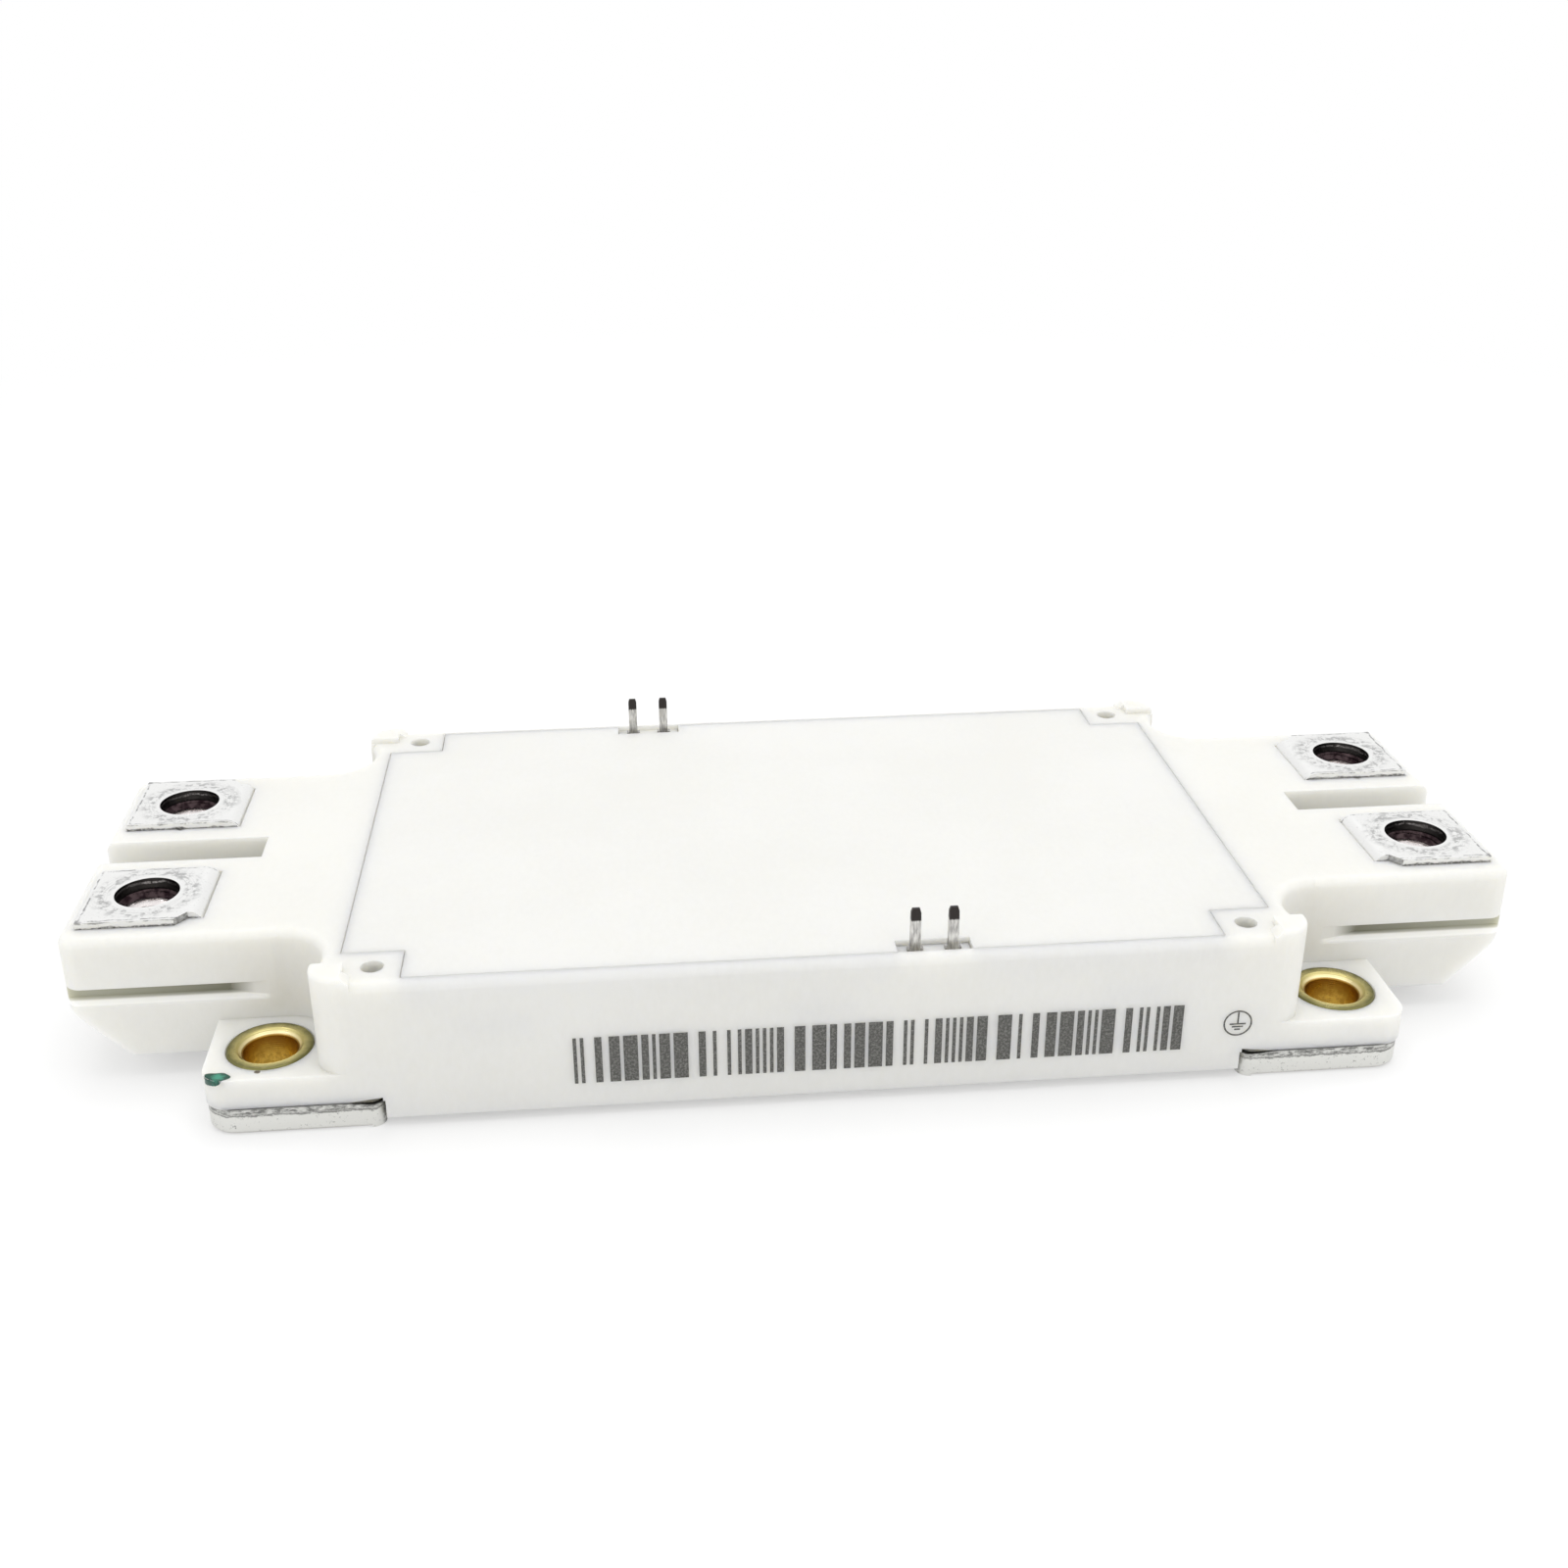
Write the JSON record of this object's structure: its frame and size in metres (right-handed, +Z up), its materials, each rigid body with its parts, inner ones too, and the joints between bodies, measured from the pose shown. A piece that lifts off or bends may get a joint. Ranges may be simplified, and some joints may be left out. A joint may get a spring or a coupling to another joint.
{
  "type": "igbt power module",
  "caption": "Flat half-bridge power module: white plastic housing on a metal baseplate, two screw terminals at each end, corner bushings and upright signal pins.",
  "frame": {"origin": "centre of the baseplate's underside", "axes": "+X along the length towards the AC terminals, +Y across towards the high-side pins, +Z up from the cooling face"},
  "size_m": [0.152, 0.062, 0.0205],
  "materials": {
    "plated_copper_plate": "satin nickel plating",
    "housing_plastic": "fine matt moulded, warm white",
    "brass": "turned, lightly tarnished",
    "plated_terminal": "plated copper strip, lightly scratched",
    "nut_steel": "plated steel",
    "plated_pin": "tin plated",
    "ceramic": "fired white ceramic",
    "copper": "bare copper",
    "solder": "solder",
    "chip": "metallised silicon",
    "bond_wire": "drawn wire",
    "gel": "clear soft silicone"
  },
  "bodies": {
    "root": {"baseplate": "plated_copper_plate", "housing_frame": "housing_plastic", "lid": "housing_plastic", "bushing_front_left": "brass", "bushing_front_right": "brass", "bushing_rear_left": "brass", "bushing_rear_right": "brass", "terminal_dc_minus": "plated_terminal", "terminal_dc_plus": "plated_terminal", "terminal_ac_front": "plated_terminal", "terminal_ac_rear": "plated_terminal", "nut_front_left": "nut_steel", "nut_front_right": "nut_steel", "nut_rear_left": "nut_steel", "nut_rear_right": "nut_steel", "pin_low_gate": "plated_pin", "pin_low_emitter": "plated_pin", "pin_high_gate": "plated_pin", "pin_high_emitter": "plated_pin", "ceramic_left": "ceramic", "ceramic_middle": "ceramic", "ceramic_right": "ceramic", "top_copper_left": "copper", "top_copper_middle": "copper", "top_copper_right": "copper", "bottom_copper_left": "copper", "bottom_copper_middle": "copper", "bottom_copper_right": "copper", "plate_solder": "solder", "igbt_chips": "chip", "diode_chips": "chip", "bond_wires": "bond_wire", "silicone_gel": "gel"}
  },
  "joints": []
}
